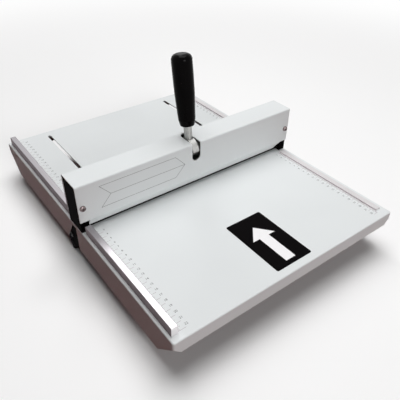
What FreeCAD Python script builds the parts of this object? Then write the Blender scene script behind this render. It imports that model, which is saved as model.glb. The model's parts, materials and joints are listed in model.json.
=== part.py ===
"""Desktop paper creasing machine.

A sheet of paper lies on two flat sheet-metal tables.  Between them a die bar with a groove is let
into a black base beam.  Two end plates stand on the beam and carry a cam shaft in bushes.  Pulling
the lever turns the shaft, and its two cams press a ram down, so that the blade pushes the paper
into the groove.  Springs in the end plates lift the ram again.

Millimetres.  X runs along the crease, Y from the front to the rear, Z up.  The origin is on the
bench, under the middle of the tables.
"""
import FreeCAD
import Part
import Sketcher
import math
import os

Vector = FreeCAD.Vector
Rotation = FreeCAD.Rotation
doc = FreeCAD.newDocument("PaperCreaser")

# ---------------------------------------------------------------- driving dimensions
SIZES = {
    # the tables
    "table_width": 375,
    "guide_margin": 12.5,       # from the tables' side face to the left rails' inner face
    "front_reach": 231,         # crease line to the front edge
    "rear_reach": 272,          # crease line to the rear edge
    "table_top": 66,            # top face above the bench
    "table_sheet": 1.5,
    "side_flange": 45,
    "end_flange": 20,
    "end_chamfer": 10,          # cut corners of the front and rear flanges
    "flange_taper": 34,         # sloping ends of the side flanges
    "return_lip": 34,           # inward lip along the foot of each side flange
    "bend_radius": 2,
    "seam_gap": 0.4,            # between the front and rear tables
    "seam_shift": 4,            # the seam lies this far behind the crease line
    "notch_top": 5,             # strip of side flange left above the notch
    "notch_head": 12,           # length of the notch at its top
    "notch_foot": 39.3,         # length of the notch at its foot
    "stop_slot_pitch": 241.5,
    "stop_slot_width": 5.5,
    "stop_slot_start": 60,
    "stop_slot_margin": 16.5,   # from the slot's end to the rear edge
    # base beam and die
    "beam_width": 88,
    "beam_depth": 47.5,
    "beam_web": 5,
    "beam_leg": 3,
    "beam_inset": 4.3,          # beam end inside the tables' side face
    "cap_sheet": 2.5,
    "cap_tab": 14,
    "tie_rod_diameter": 9,
    "tie_rod_back": 28,         # behind the crease line
    "tie_rod_drop": 33,         # below the table top
    "die_width": 16,
    "die_thickness": 4.5,
    "die_groove": 1.6,
    "die_groove_depth": 1,
    "seat_clearance": 0.2,      # between parts let into each other
    # end plates, ram guides
    "plate_inset": 0.5,         # end plate inside the cover's end
    "plate_front": 16,
    "plate_rear": 20.3,
    "pocket_depth": 8,
    "pocket_low": 10,
    "pocket_room": 2,           # pocket above the resting ram's tongue
    "slide_clearance": 0.3,
    # cover
    "cover_sheet": 1.5,
    "cover_height": 74.4,
    "cover_bend": 2.5,
    "skirt_height": 17.5,       # lower edge of the cover's walls above the tables
    "paper_gap": 4.6,           # under the cover's lips and the resting blade
    "lip_inset": 7.2,
    "lip_end_gap": 1,           # from the cover's lip to the end plate
    "lip_corner": 8,
    "slot_width": 14.5,
    "slot_drop": 28.7,          # from the cover's top to the slot's foot
    "slot_rear": 17,
    "cover_screw_height": 40,
    # cam shaft and lever
    "shaft_drop": 17.4,         # from the cover's top to the shaft's axis
    "shaft_diameter": 15,
    "bush_diameter": 20,
    "bush_length": 10,
    "running_clearance": 0.04,
    "cam_radius": 9.9,
    "cam_stroke": 5,
    "cam_travel": 80,           # degrees of lever travel
    "cam_width": 14,
    "cam_offset": 120,
    "cam_dwell": 18,            # degrees of round nose behind the lobe
    "cam_pin": 3.5,
    "contact_gap": 0.3,
    "hub_diameter": 22,
    "hub_length": 30,
    "shield_radius": 17.4,      # quadrant of the hub that closes the lever slot
    "shield_width": 10.4,
    "rod_seat": 13.5,           # flat for the rod, from the shaft's axis
    "lever_lean": 7.7,          # degrees behind upright at rest
    "boss_diameter": 13.4,
    "rod_diameter": 12,
    "spigot_diameter": 9,
    "spigot_depth": 16,
    "rod_top": 96,
    "grip_foot": 37,
    "grip_top": 137.5,
    "grip_end_diameter": 20.5,
    "grip_neck_diameter": 24.6,
    "grip_belly_diameter": 28.4,
    "grip_head_diameter": 29,
    "grip_end_round": 1.5,
    "grip_dome": 8,
    # ram and blade
    "ram_thickness": 12,
    "ram_bottom": 10,
    "tongue_low": 26,
    "tongue_drop": 4.8,         # from the ram's top to its tongues
    "ram_recess_width": 36,
    "ram_recess_depth": 6,
    "rebate_height": 18,
    "blade_thickness": 1,
    "blade_height": 22,
    "blade_edge": 0.4,
    "end_clearance": 0.4,
    # springs in the end plates
    "spring_diameter": 6.4,
    "spring_wire": 0.9,
    "spring_turns": 6,
    # tie bar and lever stop
    "tie_bar_depth": 8,
    "tie_bar_height": 14,
    "tie_bar_seat": 8,          # tie bar let into each end plate
    "stop_drop": 6.9,           # from the cover's top to the stop screw's axis
    "stop_screw_diameter": 5,
    "stop_nut_flats": 8,
    "stop_nut_height": 2.8,
    # rails, strips, plate
    "rail_width": 8.5,
    "rail_height": 13.5,
    "rail_chamfer": 0.6,
    "rail_gap": 4,
    "rear_rail_gap": 2.7,
    "rail_margin": 9,
    "strip_height": 2.8,
    "strip_inset": 4,           # strips inside the line of the right end plate's inner face
    "strip_margin": 14.4,
    "plaque_width": 60,
    "plaque_length": 100,
    "plaque_sheet": 0.3,
    "plaque_shift": 4,
    "plaque_margin": 11,
    "plaque_corner": 2.5,
    # feet
    "foot_diameter": 13,
    "foot_back": 36,
    "foot_inset": 6.5,
    "corner_foot_diameter": 14,
    "corner_foot_inset": 26,
    "corner_foot_margin": 60,
    "foot_recess": 5,
    # fasteners: shank, head diameter, head height
    "cover_screw": 4,
    "cover_screw_head": 8.4,
    "cover_screw_head_height": 3,
    "cover_screw_length": 9,
    "cap_screw": 5,
    "cap_screw_head": 8.5,
    "plate_screw": 4,
    "plate_screw_head": 7,
    "plate_screw_head_height": 4,
    "plate_screw_inset": 4,     # from the end plate's inner face
    "plate_screw_spacing": 24,
    "plate_screw_grip": 9,
    "small_screw": 3,
    "small_screw_head": 5.5,
    "small_screw_head_height": 2,
    "clamp_screw_pitch": 56,
    "tie_rod_head_height": 1.7,
    "tie_bar_screw": 4,
    "tie_bar_screw_head": 7,
}
sheet = doc.addObject("Spreadsheet::Sheet", "Dims")
for row, (alias, value) in enumerate(SIZES.items(), start=1):
    sheet.set(f"A{row}", alias)
    sheet.set(f"B{row}", str(value))
    sheet.setAlias(f"B{row}", alias)
doc.recompute()


def size(expression):
    """The present value of an expression on the sheet."""
    return float(sheet.evalExpression(str(expression)))


# ---------------------------------------------------------------- places, as expressions
TOP = "Dims.table_top"
CREASE = "((Dims.front_reach - Dims.rear_reach) / 2)"
HALF_TABLE = "(Dims.table_width / 2)"
HALF_WORK = "(Dims.table_width / 2 - Dims.guide_margin)"
UNDER_TABLE = "(-Dims.table_sheet)"
BEAM_FOOT = "(-Dims.table_sheet - Dims.beam_depth)"
BEAM_END = f"({HALF_TABLE} - Dims.beam_inset)"
COVER_FRONT = "(-Dims.plate_front - Dims.cover_sheet)"
COVER_REAR = "(Dims.plate_rear + Dims.cover_sheet)"
PLATE_TOP = "(Dims.cover_height - Dims.cover_sheet)"
PLATE_THICKNESS = "(Dims.guide_margin - Dims.plate_inset)"
PLATE_MIDDLE = f"({HALF_WORK} + {PLATE_THICKNESS} / 2)"
POCKET_MIDDLE = f"({HALF_WORK} + Dims.pocket_depth / 2)"
SHAFT_HEIGHT = "(Dims.cover_height - Dims.shaft_drop)"
STOP_HEIGHT = "(Dims.cover_height - Dims.stop_drop)"
SLOT_FOOT = "(Dims.cover_height - Dims.slot_drop)"
RAM_TOP = f"({SHAFT_HEIGHT} - Dims.cam_radius - Dims.contact_gap)"
TONGUE_TOP = f"({RAM_TOP} - Dims.tongue_drop)"
POCKET_TOP = f"({TONGUE_TOP} + Dims.pocket_room)"
RAM_HALF = "(Dims.ram_thickness / 2)"
RAM_END = f"({HALF_WORK} - Dims.end_clearance)"
TONGUE_END = f"({HALF_WORK} + Dims.pocket_depth - Dims.slide_clearance)"
TIE_FRONT = "(Dims.plate_rear - Dims.tie_bar_depth)"
TIE_LOW = f"({PLATE_TOP} - Dims.tie_bar_height)"
RAIL_MIDDLE = f"({HALF_WORK} + Dims.rail_width / 2)"
DIE_SLOT_HALF = "(Dims.die_width / 2 + Dims.seat_clearance)"


# ---------------------------------------------------------------- sketch and feature helpers
AXIS_SIGN = {"YZ_Plane": 1, "XZ_Plane": -1, "XY_Plane": 1}


def new_body(name, x="0", y=CREASE, z=TOP):
    """A body whose own origin is on the crease line, level with the tables."""
    body = doc.addObject("PartDesign::Body", name)
    body.Label = name
    body.AllowCompound = True
    place(body, x, y, z)
    return body


def place(thing, x, y, z):
    for axis, expression in zip("xyz", (x, y, z)):
        thing.setExpression(f"Placement.Base.{axis}", str(expression))


def new_sketch(body, name, role, level="0"):
    """A sketch on one of the body's origin planes, moved along that plane's own axis to level."""
    sketch = body.newObject("Sketcher::SketchObject", name)
    plane = [item for item in body.Origin.OriginFeatures if item.Role == role][0]
    sketch.AttachmentSupport = [(plane, "")]
    sketch.MapMode = "FlatFace"
    sign = "-" if AXIS_SIGN[role] < 0 else ""
    sketch.setExpression("AttachmentOffset.Base.z", f"{sign}({level})")
    return sketch


def fix_point(sketch, geometry, end, x, y):
    """Hold one point of a sketch at two expressions."""
    for kind, expression, axis in (("DistanceX", x, -2), ("DistanceY", y, -1)):
        if abs(size(expression)) < 1e-9:
            sketch.addConstraint(Sketcher.Constraint("PointOnObject", geometry, end, axis))
            continue
        index = sketch.addConstraint(
            Sketcher.Constraint(kind, -1, 1, geometry, end, size(expression)))
        sketch.setExpression(f"Constraints[{index}]", str(expression))


def outline(sketch, points):
    """A closed polygon through points given as pairs of expressions."""
    spots = [Vector(size(x), size(y), 0) for x, y in points]
    first = sketch.GeometryCount
    count = len(points)
    for i in range(count):
        sketch.addGeometry(Part.LineSegment(spots[i], spots[(i + 1) % count]))
    for i in range(count):
        following = first + (i + 1) % count
        sketch.addConstraint(Sketcher.Constraint("Coincident", first + i, 2, following, 1))
    for i, (x, y) in enumerate(points):
        fix_point(sketch, first + i, 1, x, y)
    return sketch


def rectangle(sketch, x0, x1, y0, y1):
    return outline(sketch, [(x0, y0), (x1, y0), (x1, y1), (x0, y1)])


def circles(sketch, centres, diameter):
    """Circles of one diameter about centres given as pairs of expressions."""
    for x, y in centres:
        middle = Vector(size(x), size(y), 0)
        circle = sketch.addGeometry(Part.Circle(middle, Vector(0, 0, 1), size(diameter) / 2))
        fix_point(sketch, circle, 3, x, y)
        index = sketch.addConstraint(Sketcher.Constraint("Diameter", circle, size(diameter)))
        sketch.setExpression(f"Constraints[{index}]", str(diameter))
    return sketch


def round_ended_slot(sketch, x, y0, y1, width):
    """A slot along the sketch's Y, with round ends that touch y0 and y1."""
    half = size(width) / 2
    middle = size(x)
    low = size(y0) + half
    high = size(y1) - half
    up = Vector(0, 0, 1)
    foot = Part.ArcOfCircle(Part.Circle(Vector(middle, low, 0), up, half), math.pi, 2 * math.pi)
    head = Part.ArcOfCircle(Part.Circle(Vector(middle, high, 0), up, half), 0, math.pi)
    sides = [Part.LineSegment(Vector(middle + half, low, 0), Vector(middle + half, high, 0)),
             Part.LineSegment(Vector(middle - half, high, 0), Vector(middle - half, low, 0))]
    first = sketch.GeometryCount
    for curve in (foot, sides[0], head, sides[1]):
        sketch.addGeometry(curve)
    for i in range(4):
        following = first + (i + 1) % 4
        sketch.addConstraint(Sketcher.Constraint("Tangent", first + i, 2, following, 1))
    fix_point(sketch, first, 3, x, f"({y0}) + ({width}) / 2")
    fix_point(sketch, first + 2, 3, x, f"({y1}) - ({width}) / 2")
    index = sketch.addConstraint(Sketcher.Constraint("Radius", first, half))
    sketch.setExpression(f"Constraints[{index}]", f"({width}) / 2")
    return sketch


def pad(body, name, sketch, length, toward=1, middle=False):
    """Grow the sketch by length towards plus or minus its plane's own axis."""
    feature = body.newObject("PartDesign::Pad", name)
    feature.Profile = sketch
    feature.setExpression("Length", str(length))
    role = sketch.AttachmentSupport[0][0].Role
    feature.Reversed = toward * AXIS_SIGN[role] < 0
    if middle:
        feature.SideType = "Symmetric"
    sketch.Visibility = False
    doc.recompute()
    return feature


def pocket(body, name, sketch, length, toward=-1, middle=False):
    """Cut the sketch by length towards plus or minus its plane's own axis."""
    before = body.Shape.Volume
    feature = body.newObject("PartDesign::Pocket", name)
    feature.Profile = sketch
    feature.setExpression("Length", str(length))
    role = sketch.AttachmentSupport[0][0].Role
    feature.Reversed = toward * AXIS_SIGN[role] > 0
    if middle:
        feature.SideType = "Symmetric"
    sketch.Visibility = False
    doc.recompute()
    if not body.Shape.Volume < before:
        raise RuntimeError(f"{body.Label}: {name} cuts nothing")
    return feature


def revolve(body, name, sketch):
    """Turn the sketch about the body's Z axis, which is the sketch's vertical axis."""
    feature = body.newObject("PartDesign::Revolution", name)
    feature.Profile = sketch
    feature.ReferenceAxis = (sketch, ["V_Axis"])
    feature.Angle = 360
    sketch.Visibility = False
    doc.recompute()
    return feature


def pick_edges(shape, test):
    return [f"Edge{i}" for i, edge in enumerate(shape.Edges, start=1) if test(edge)]


def dress(body, kind, name, amount, test):
    """Fillet or chamfer the edges of the body's last feature that pass the test."""
    doc.recompute()
    base = body.Tip
    names = pick_edges(base.Shape, test)
    if not names:
        raise RuntimeError(f"{body.Label}: {name} finds no edge")
    feature = body.newObject(f"PartDesign::{kind}", name)
    feature.Base = (base, names)
    feature.setExpression("Radius" if kind == "Fillet" else "Size", str(amount))
    doc.recompute()
    return feature


def ends(edge):
    return [vertex.Point for vertex in edge.Vertexes]


def along(edge, axis):
    """True for a straight edge that runs along X, Y or Z."""
    if not isinstance(edge.Curve, (Part.Line, Part.LineSegment)):
        return False
    direction = edge.tangentAt(edge.FirstParameter)
    return abs(abs(getattr(direction, axis)) - 1) < 1e-6


def at(edge, **levels):
    """True where every end of the edge lies at the given coordinates."""
    return all(abs(getattr(point, axis) - level) < 1e-4
               for point in ends(edge) for axis, level in levels.items())


def is_ring(edge, radius, **levels):
    """True for a full circle of this radius whose centre lies at the given coordinates."""
    if not isinstance(edge.Curve, Part.Circle) or abs(edge.Curve.Radius - radius) > 1e-4:
        return False
    middle = edge.Curve.Center
    return all(abs(getattr(middle, axis) - level) < 1e-4 for axis, level in levels.items())


def hexagon(x, y, reach):
    return [(f"({x}) + {reach} * cos({60 * step})", f"({y}) + {reach} * sin({60 * step})")
            for step in range(6)]


def cross(x, y, arm, half):
    """Twelve corners of a cross-shaped recess."""
    quarter = [(arm, half), (half, half), (half, arm)]
    turned = [quarter,
              [(f"-{v}", u) for u, v in quarter],
              [(f"-{u}", f"-{v}") for u, v in quarter],
              [(v, f"-{u}") for u, v in quarter]]
    return [(f"({x}) + {u}", f"({y}) + {v}") for corners in turned for u, v in corners]


def screws(name, role, level, centres, shank, head, head_height, length, out, drive=hexagon):
    """A group of equal screws whose heads sit on the plane at level and point towards out."""
    body = new_body(name)
    heads = circles(new_sketch(body, "Heads", role, level), centres, head)
    pad(body, "HeadPad", heads, head_height, toward=out)
    shanks = circles(new_sketch(body, "Shanks", role, level), centres, shank)
    pad(body, "ShankPad", shanks, length, toward=-out)
    axis = {"YZ_Plane": "x", "XZ_Plane": "y", "XY_Plane": "z"}[role]
    outer = size(level) + out * size(head_height)
    if drive is cross:
        dress(body, "Fillet", "Dome", f"({head_height}) * 0.6",
              lambda edge: is_ring(edge, size(head) / 2, **{axis: outer}))
    sockets = new_sketch(body, "Sockets", role, f"({level}) + ({head_height}) * {out}")
    for x, y in centres:
        if drive is cross:
            outline(sockets, cross(x, y, f"({head}) * 0.3", f"({head}) * 0.07"))
        else:
            outline(sockets, hexagon(x, y, f"({shank}) * 0.48"))
    pocket(body, "SocketPocket", sockets, f"({head_height}) * 0.5", toward=-out)
    return body


# ---------------------------------------------------------------- tables
def table_profile(sketch):
    """Cross-section of a table: top sheet, side flanges and their inward lips."""
    sheet_ = "Dims.table_sheet"
    foot = "(-Dims.side_flange)"
    inner = f"({HALF_TABLE} - {sheet_})"
    lip = f"({HALF_TABLE} - Dims.return_lip)"
    right = [(HALF_TABLE, "0"), (HALF_TABLE, foot), (lip, foot), (lip, f"{foot} + {sheet_}"),
             (inner, f"{foot} + {sheet_}"), (inner, UNDER_TABLE)]
    left = [(f"-{x}", z) for x, z in reversed(right)]
    return outline(sketch, right + left)


def make_table(name, edge, seam, side):
    """One table from its outer edge to the seam; side is -1 for the front one, 1 for the rear."""
    body = new_body(name)
    length = f"abs(({seam}) - ({edge}))"
    profile = table_profile(new_sketch(body, "Section", "XZ_Plane", edge))
    pad(body, "Bent sheet", profile, length, toward=-side)

    drop = "(-Dims.end_flange)"
    cut = "Dims.end_chamfer"
    below = "(-Dims.side_flange - 1)"
    taper = new_sketch(body, "Taper", "YZ_Plane")
    start = f"{drop} + {cut}"
    slope_end = f"({edge}) - {side} * Dims.flange_taper"
    outline(taper, [(f"({edge}) + {side}", start), (edge, start), (slope_end, "-Dims.side_flange"),
                    (slope_end, below), (f"({edge}) + {side}", below)])
    pocket(body, "TaperCut", taper, "Dims.table_width + 2", middle=True)

    plate = new_sketch(body, "EndFlange", "XZ_Plane", edge)
    outline(plate, [(f"-{HALF_TABLE}", "0"), (HALF_TABLE, "0"), (HALF_TABLE, start),
                    (f"{HALF_TABLE} - {cut}", drop), (f"-{HALF_TABLE} + {cut}", drop),
                    (f"-{HALF_TABLE}", start)])
    pad(body, "EndFlangePad", plate, "Dims.table_sheet", toward=-side)

    clear = new_sketch(body, "DieSlot", "XY_Plane", "1")
    reach = f"({side} * {DIE_SLOT_HALF})"
    beyond = f"({side} * -1 * ({DIE_SLOT_HALF} + Dims.seam_shift + 1))"
    rectangle(clear, f"-{HALF_WORK} - Dims.seat_clearance", f"{HALF_WORK} + Dims.seat_clearance",
              beyond, reach)
    pocket(body, "DieSlotCut", clear, "Dims.table_sheet + 2")

    lips = new_sketch(body, "BeamRoom", "XY_Plane", "-Dims.side_flange + Dims.table_sheet + 1")
    room = f"({side} * (Dims.beam_width / 2 + 2))"
    inner = f"({HALF_TABLE} - Dims.table_sheet)"
    for sign in ("", "-"):
        rectangle(lips, f"{sign}({HALF_TABLE} - Dims.return_lip - 1)", f"{sign}{inner}",
                  beyond, room)
    pocket(body, "BeamRoomCut", lips, "Dims.table_sheet + 2")
    return body


def fold_edges(body, edge):
    """Round the bends between the top sheet and its three flanges, and the two corners."""
    half = size(HALF_TABLE)
    y_edge = size(edge)
    dress(body, "Fillet", "Corners", "Dims.bend_radius * 1.5",
          lambda e: along(e, "z") and (at(e, x=half, y=y_edge) or at(e, x=-half, y=y_edge)))
    dress(body, "Fillet", "Bends", "Dims.bend_radius",
          lambda e: (along(e, "y") and (at(e, x=half, z=0) or at(e, x=-half, z=0)))
          or (along(e, "x") and at(e, y=y_edge, z=0)))


SEAM = "(Dims.seam_shift - Dims.seam_gap / 2)"
SEAM_REAR = "(Dims.seam_shift + Dims.seam_gap / 2)"
PLATE_SCREW_X = f"({HALF_WORK} + Dims.plate_screw_inset)"
PLATE_SCREWS = [(f"{sign}{PLATE_SCREW_X}", f"{way}(Dims.plate_screw_spacing / 2)")
                for sign in ("-", "") for way in ("-", "")]


def front_rail_span():
    near = f"({COVER_FRONT} - Dims.rail_gap)"
    far = "(-Dims.front_reach + Dims.rail_margin)"
    return far, near


def rear_rail_span():
    near = f"({COVER_REAR} + Dims.rear_rail_gap)"
    far = "(Dims.rear_reach - Dims.rail_margin)"
    return near, far


def rail_screw_places(near, far):
    """Three screw places along a rail, clear of the beam at its near end."""
    return [(f"-{RAIL_MIDDLE}", f"({near}) + (({far}) - ({near})) * {share}")
            for share in (0.2, 0.55, 0.9)]


def screw_holes(body, name, centres, diameter, level="1", depth="Dims.table_sheet + 2"):
    holes = circles(new_sketch(body, name, "XY_Plane", level), centres, f"({diameter}) + 0.2")
    pocket(body, f"{name}Cut", holes, depth)


FRONT_RAIL = front_rail_span()
REAR_RAIL = rear_rail_span()
FRONT_RAIL_SCREWS = rail_screw_places(FRONT_RAIL[1], FRONT_RAIL[0])
REAR_RAIL_SCREWS = rail_screw_places(REAR_RAIL[0], REAR_RAIL[1])
CORNER_X = f"({HALF_TABLE} - Dims.corner_foot_inset)"
CORNER_FRONT = "(-Dims.front_reach + Dims.corner_foot_margin)"
CORNER_REAR = "(Dims.rear_reach - Dims.corner_foot_margin)"

front_table = make_table("front_table", "-Dims.front_reach", SEAM, -1)
screw_holes(front_table, "PlateHoles", [c for c in PLATE_SCREWS if c[1].startswith("-")],
            "Dims.plate_screw")
screw_holes(front_table, "RailHoles", FRONT_RAIL_SCREWS, "Dims.small_screw")
screw_holes(front_table, "FootHoles", [(f"-{CORNER_X}", CORNER_FRONT), (CORNER_X, CORNER_FRONT)],
            "Dims.small_screw", "-Dims.side_flange + Dims.table_sheet + 1")
fold_edges(front_table, "-Dims.front_reach")

rear_table = make_table("rear_table", "Dims.rear_reach", SEAM_REAR, 1)
notch = new_sketch(rear_table, "Notch", "YZ_Plane")
notch_high = "(-Dims.notch_top)"
notch_low = "(-Dims.side_flange - 1)"
outline(notch, [(f"{SEAM_REAR} - 1", notch_low), (f"{SEAM_REAR} - 1", notch_high),
                (f"{SEAM_REAR} + Dims.notch_head", notch_high),
                (f"{SEAM_REAR} + Dims.notch_foot", notch_low)])
pocket(rear_table, "NotchCut", notch, "Dims.table_width + 2", middle=True)
screw_holes(rear_table, "PlateHoles", [c for c in PLATE_SCREWS if not c[1].startswith("-")],
            "Dims.plate_screw")
screw_holes(rear_table, "RailHoles", REAR_RAIL_SCREWS, "Dims.small_screw")
screw_holes(rear_table, "FootHoles", [(f"-{CORNER_X}", CORNER_REAR), (CORNER_X, CORNER_REAR)],
            "Dims.small_screw", "-Dims.side_flange + Dims.table_sheet + 1")
stops = new_sketch(rear_table, "StopSlots", "XY_Plane", "1")
for sign in ("-", ""):
    round_ended_slot(stops, f"{sign}(Dims.stop_slot_pitch / 2)", "Dims.stop_slot_start",
                     "Dims.rear_reach - Dims.stop_slot_margin", "Dims.stop_slot_width")
pocket(rear_table, "StopSlotsCut", stops, "Dims.table_sheet + 2")
fold_edges(rear_table, "Dims.rear_reach")

# ---------------------------------------------------------------- base beam, caps, tie rod
beam = new_body("base_beam")
web_low = f"({UNDER_TABLE} - Dims.beam_web)"
half_beam = "(Dims.beam_width / 2)"
leg_inner = f"({half_beam} - Dims.beam_leg)"
die_floor = "(-Dims.die_thickness)"
section = new_sketch(beam, "Section", "YZ_Plane")
outline(section, [(f"-{half_beam}", BEAM_FOOT), (f"-{half_beam}", UNDER_TABLE),
                  (f"-{DIE_SLOT_HALF}", UNDER_TABLE), (f"-{DIE_SLOT_HALF}", die_floor),
                  (DIE_SLOT_HALF, die_floor), (DIE_SLOT_HALF, UNDER_TABLE),
                  (half_beam, UNDER_TABLE), (half_beam, BEAM_FOOT), (leg_inner, BEAM_FOOT),
                  (leg_inner, web_low), (f"-{leg_inner}", web_low), (f"-{leg_inner}", BEAM_FOOT)])
pad(beam, "Channel", section, f"2 * {BEAM_END}", middle=True)
screw_holes(beam, "PlateHoles", PLATE_SCREWS, "Dims.plate_screw", UNDER_TABLE,
            "Dims.beam_web + 1")
DIE_SCREWS = [(f"2 * {HALF_WORK} * {share}", "0") for share in (-0.42, -0.14, 0.14, 0.42)]
screw_holes(beam, "DieHoles", DIE_SCREWS, "Dims.small_screw", UNDER_TABLE, "Dims.beam_web + 1")
dress(beam, "Fillet", "Bends", "Dims.beam_leg",
      lambda e: along(e, "x") and (at(e, y=size(half_beam), z=size(UNDER_TABLE))
                                   or at(e, y=-size(half_beam), z=size(UNDER_TABLE))))


def make_cap(name, side):
    """Plate on the end of the beam, with a tab at its foot for the rubber foot."""
    body = new_body(name)
    near = f"({side} * {BEAM_END})"
    plate = new_sketch(body, "Plate", "YZ_Plane", near)
    rectangle(plate, f"-{half_beam}", half_beam, f"{BEAM_FOOT} - Dims.cap_sheet",
              f"{UNDER_TABLE} - 0.5")
    pad(body, "PlatePad", plate, "Dims.cap_sheet", toward=side)
    tab = new_sketch(body, "Tab", "YZ_Plane", near)
    rectangle(tab, f"-{half_beam}", half_beam, f"{BEAM_FOOT} - Dims.cap_sheet", BEAM_FOOT)
    pad(body, "TabPad", tab, "Dims.cap_tab", toward=-side)
    bore = new_sketch(body, "ScrewHole", "YZ_Plane", f"{near} + {side} * (Dims.cap_sheet + 1)")
    circles(bore, [("Dims.tie_rod_back", "-Dims.tie_rod_drop")], "Dims.cap_screw + 0.2")
    pocket(body, "ScrewHoleCut", bore, "Dims.cap_sheet + 2", toward=-side)
    screw_holes(body, "FootHole", [(f"({side} * {FOOT_X})", "Dims.foot_back")],
                "Dims.small_screw", f"{BEAM_FOOT} + 1", "Dims.cap_sheet + 2")
    outer = size(near) + side * size("Dims.cap_sheet")
    dress(body, "Fillet", "CapEdges", "0.8", lambda e: at(e, x=outer) and not e.Closed
          and not isinstance(e.Curve, Part.Circle))
    return body


FOOT_X = f"({HALF_TABLE} - Dims.foot_inset)"
make_cap("beam_cap_left", -1)
make_cap("beam_cap_right", 1)

rod = new_body("beam_tie_rod")
circles(new_sketch(rod, "Round", "YZ_Plane"), [("Dims.tie_rod_back", "-Dims.tie_rod_drop")],
        "Dims.tie_rod_diameter")
pad(rod, "Bar", rod.Group[-1], f"2 * {BEAM_END}", middle=True)
thread = new_sketch(rod, "Threads", "YZ_Plane", f"{BEAM_END} + 1")
circles(thread, [("Dims.tie_rod_back", "-Dims.tie_rod_drop")], "Dims.cap_screw")
pocket(rod, "RightThread", thread, "16")
thread = new_sketch(rod, "LeftThreads", "YZ_Plane", f"-{BEAM_END} - 1")
circles(thread, [("Dims.tie_rod_back", "-Dims.tie_rod_drop")], "Dims.cap_screw")
pocket(rod, "LeftThread", thread, "16", toward=1)

for name, side in (("tie_rod_screw_left", -1), ("tie_rod_screw_right", 1)):
    screws(name, "YZ_Plane", f"{side} * ({BEAM_END} + Dims.cap_sheet)",
           [("Dims.tie_rod_back", "-Dims.tie_rod_drop")], "Dims.cap_screw", "Dims.cap_screw_head",
           "Dims.tie_rod_head_height", "Dims.cap_sheet + 12", out=side)

# ---------------------------------------------------------------- die bar
die = new_body("die_bar")
half_die = "(Dims.die_width / 2)"
half_groove = "(Dims.die_groove / 2)"
section = new_sketch(die, "Section", "YZ_Plane")
outline(section, [(f"-{half_die}", die_floor), (f"-{half_die}", "0"), (f"-{half_groove}", "0"),
                  (f"-{half_groove}", "-Dims.die_groove_depth"),
                  (half_groove, "-Dims.die_groove_depth"), (half_groove, "0"), (half_die, "0"),
                  (half_die, die_floor)])
pad(die, "Bar", section, f"2 * {HALF_WORK}", middle=True)
threads = circles(new_sketch(die, "Threads", "XY_Plane", f"{die_floor} - 1"), DIE_SCREWS,
                  "Dims.small_screw")
pocket(die, "ThreadCut", threads, "Dims.die_thickness / 2 + 1", toward=1)
screws("die_bar_screws", "XY_Plane", web_low, DIE_SCREWS, "Dims.small_screw",
       "Dims.small_screw_head", "Dims.small_screw_head_height",
       f"{die_floor} + Dims.die_thickness / 2 - {web_low}", out=-1)

# ---------------------------------------------------------------- end plates and bushes
COVER_SCREWS = [(f"-{PLATE_MIDDLE}", "Dims.cover_screw_height"),
                (PLATE_MIDDLE, "Dims.cover_screw_height")]
TIE_SCREW_HEIGHT = f"({PLATE_TOP} - 5)"
TIE_SCREW_X = f"({HALF_WORK} + Dims.tie_bar_seat / 2)"
SHAFT_CENTRE = [("0", SHAFT_HEIGHT)]


def make_end_plate(name, side):
    """Upright that carries the bush, guides the ram's tongue and holds the cover."""
    body = new_body(name)
    face = f"({side} * {HALF_WORK})"
    middle = f"({side} * {PLATE_MIDDLE})"
    block = new_sketch(body, "Block", "YZ_Plane", face)
    rectangle(block, "-Dims.plate_front", "Dims.plate_rear", "0", PLATE_TOP)
    pad(body, "BlockPad", block, PLATE_THICKNESS, toward=side)
    guide = new_sketch(body, "Guide", "YZ_Plane", f"{face} - {side}")
    guide_half = f"({RAM_HALF} + Dims.slide_clearance)"
    rectangle(guide, f"-{guide_half}", guide_half, "Dims.pocket_low", POCKET_TOP)
    pocket(body, "GuidePocket", guide, "Dims.pocket_depth + 1", toward=side)
    bore = new_sketch(body, "Bore", "YZ_Plane", f"{face} - {side}")
    circles(bore, SHAFT_CENTRE, "Dims.bush_diameter")
    pocket(body, "BushBore", bore, "Dims.bush_length + 1", toward=side)
    seat = new_sketch(body, "TieSeat", "YZ_Plane", f"{face} - {side}")
    rectangle(seat, TIE_FRONT, "Dims.plate_rear + 1", TIE_LOW, f"{PLATE_TOP} + 1")
    pocket(body, "TieSeatCut", seat, "Dims.tie_bar_seat + 1", toward=side)
    feet = new_sketch(body, "FootThreads", "XY_Plane", "-1")
    circles(feet, [(f"({side} * {PLATE_SCREW_X})", "-Dims.plate_screw_spacing / 2"),
                   (f"({side} * {PLATE_SCREW_X})", "Dims.plate_screw_spacing / 2")],
            "Dims.plate_screw")
    pocket(body, "FootThreadCut", feet, "Dims.plate_screw_grip + 2", toward=1)
    front = new_sketch(body, "FrontThread", "XZ_Plane", "-Dims.plate_front - 1")
    circles(front, [(middle, "Dims.cover_screw_height")], "Dims.cover_screw")
    pocket(body, "FrontThreadCut", front, "Dims.cover_screw_length", toward=1)
    rear = new_sketch(body, "RearThread", "XZ_Plane", "Dims.plate_rear + 1")
    circles(rear, [(middle, "Dims.cover_screw_height")], "Dims.cover_screw")
    pocket(body, "RearThreadCut", rear, "Dims.cover_screw_length")
    tie = new_sketch(body, "TieThread", "XZ_Plane", f"{TIE_FRONT} + 1")
    circles(tie, [(f"({side} * {TIE_SCREW_X})", TIE_SCREW_HEIGHT)], "Dims.tie_bar_screw")
    pocket(body, "TieThreadCut", tie, "7")
    outer = size(face) + side * size(PLATE_THICKNESS)
    dress(body, "Chamfer", "OuterEdges", "0.5",
          lambda e: along(e, "z") and (at(e, x=outer, y=-size("Dims.plate_front"))
                                       or at(e, x=outer, y=size("Dims.plate_rear"))))
    return body


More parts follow.
